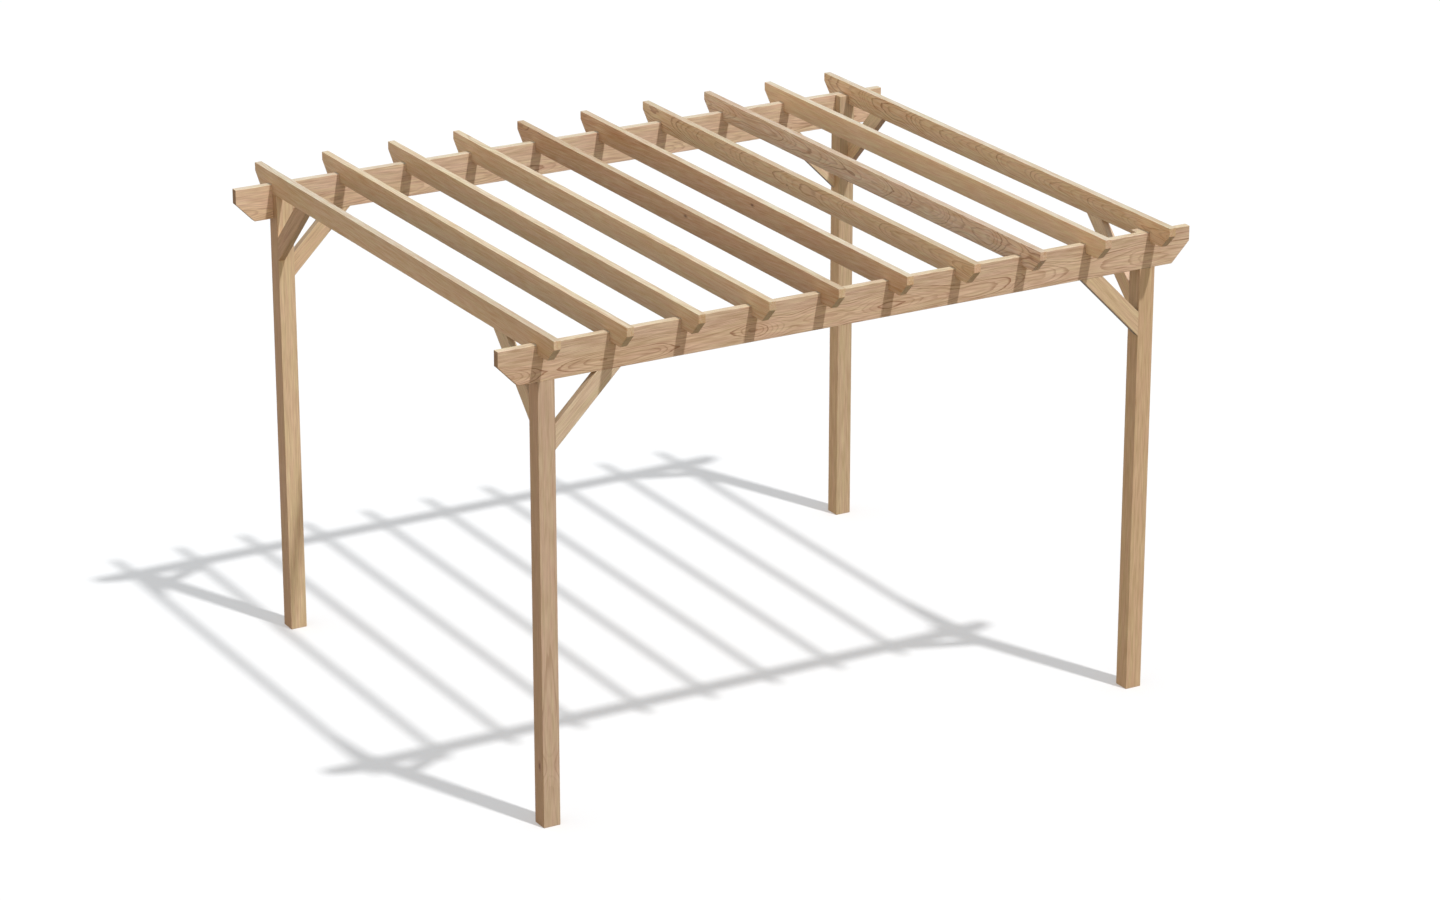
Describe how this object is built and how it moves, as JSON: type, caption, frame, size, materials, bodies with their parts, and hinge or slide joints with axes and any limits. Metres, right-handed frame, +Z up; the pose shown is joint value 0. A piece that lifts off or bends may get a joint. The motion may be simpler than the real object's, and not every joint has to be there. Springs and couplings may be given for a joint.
{
  "type": "wooden pergola",
  "caption": "Freestanding open timber pergola: square corner posts carry front and back beams, with notched rafters laid across them and slanted corner braces below.",
  "frame": {"origin": "on the ground at the middle of the four posts", "axes": "+X along the beams, +Y along the rafters from front to back, +Z up"},
  "size_m": [3.878, 3.29, 2.517],
  "materials": {
    "post_timber": "planed softwood, oiled",
    "beam_timber": "planed softwood, oiled",
    "rafter_timber": "planed softwood, oiled",
    "brace_timber": "planed softwood, oiled"
  },
  "bodies": {
    "root": {"front_left_post": "post_timber", "front_right_post": "post_timber", "back_left_post": "post_timber", "back_right_post": "post_timber", "front_beam": "beam_timber", "back_beam": "beam_timber", "rafter_01": "rafter_timber", "rafter_02": "rafter_timber", "rafter_03": "rafter_timber", "rafter_04": "rafter_timber", "rafter_05": "rafter_timber", "rafter_06": "rafter_timber", "rafter_07": "rafter_timber", "rafter_08": "rafter_timber", "rafter_09": "rafter_timber", "rafter_10": "rafter_timber", "front_left_beam_brace": "brace_timber", "front_right_beam_brace": "brace_timber", "back_left_beam_brace": "brace_timber", "back_right_beam_brace": "brace_timber", "front_left_rafter_brace": "brace_timber", "front_right_rafter_brace": "brace_timber", "back_left_rafter_brace": "brace_timber", "back_right_rafter_brace": "brace_timber"}
  },
  "joints": []
}
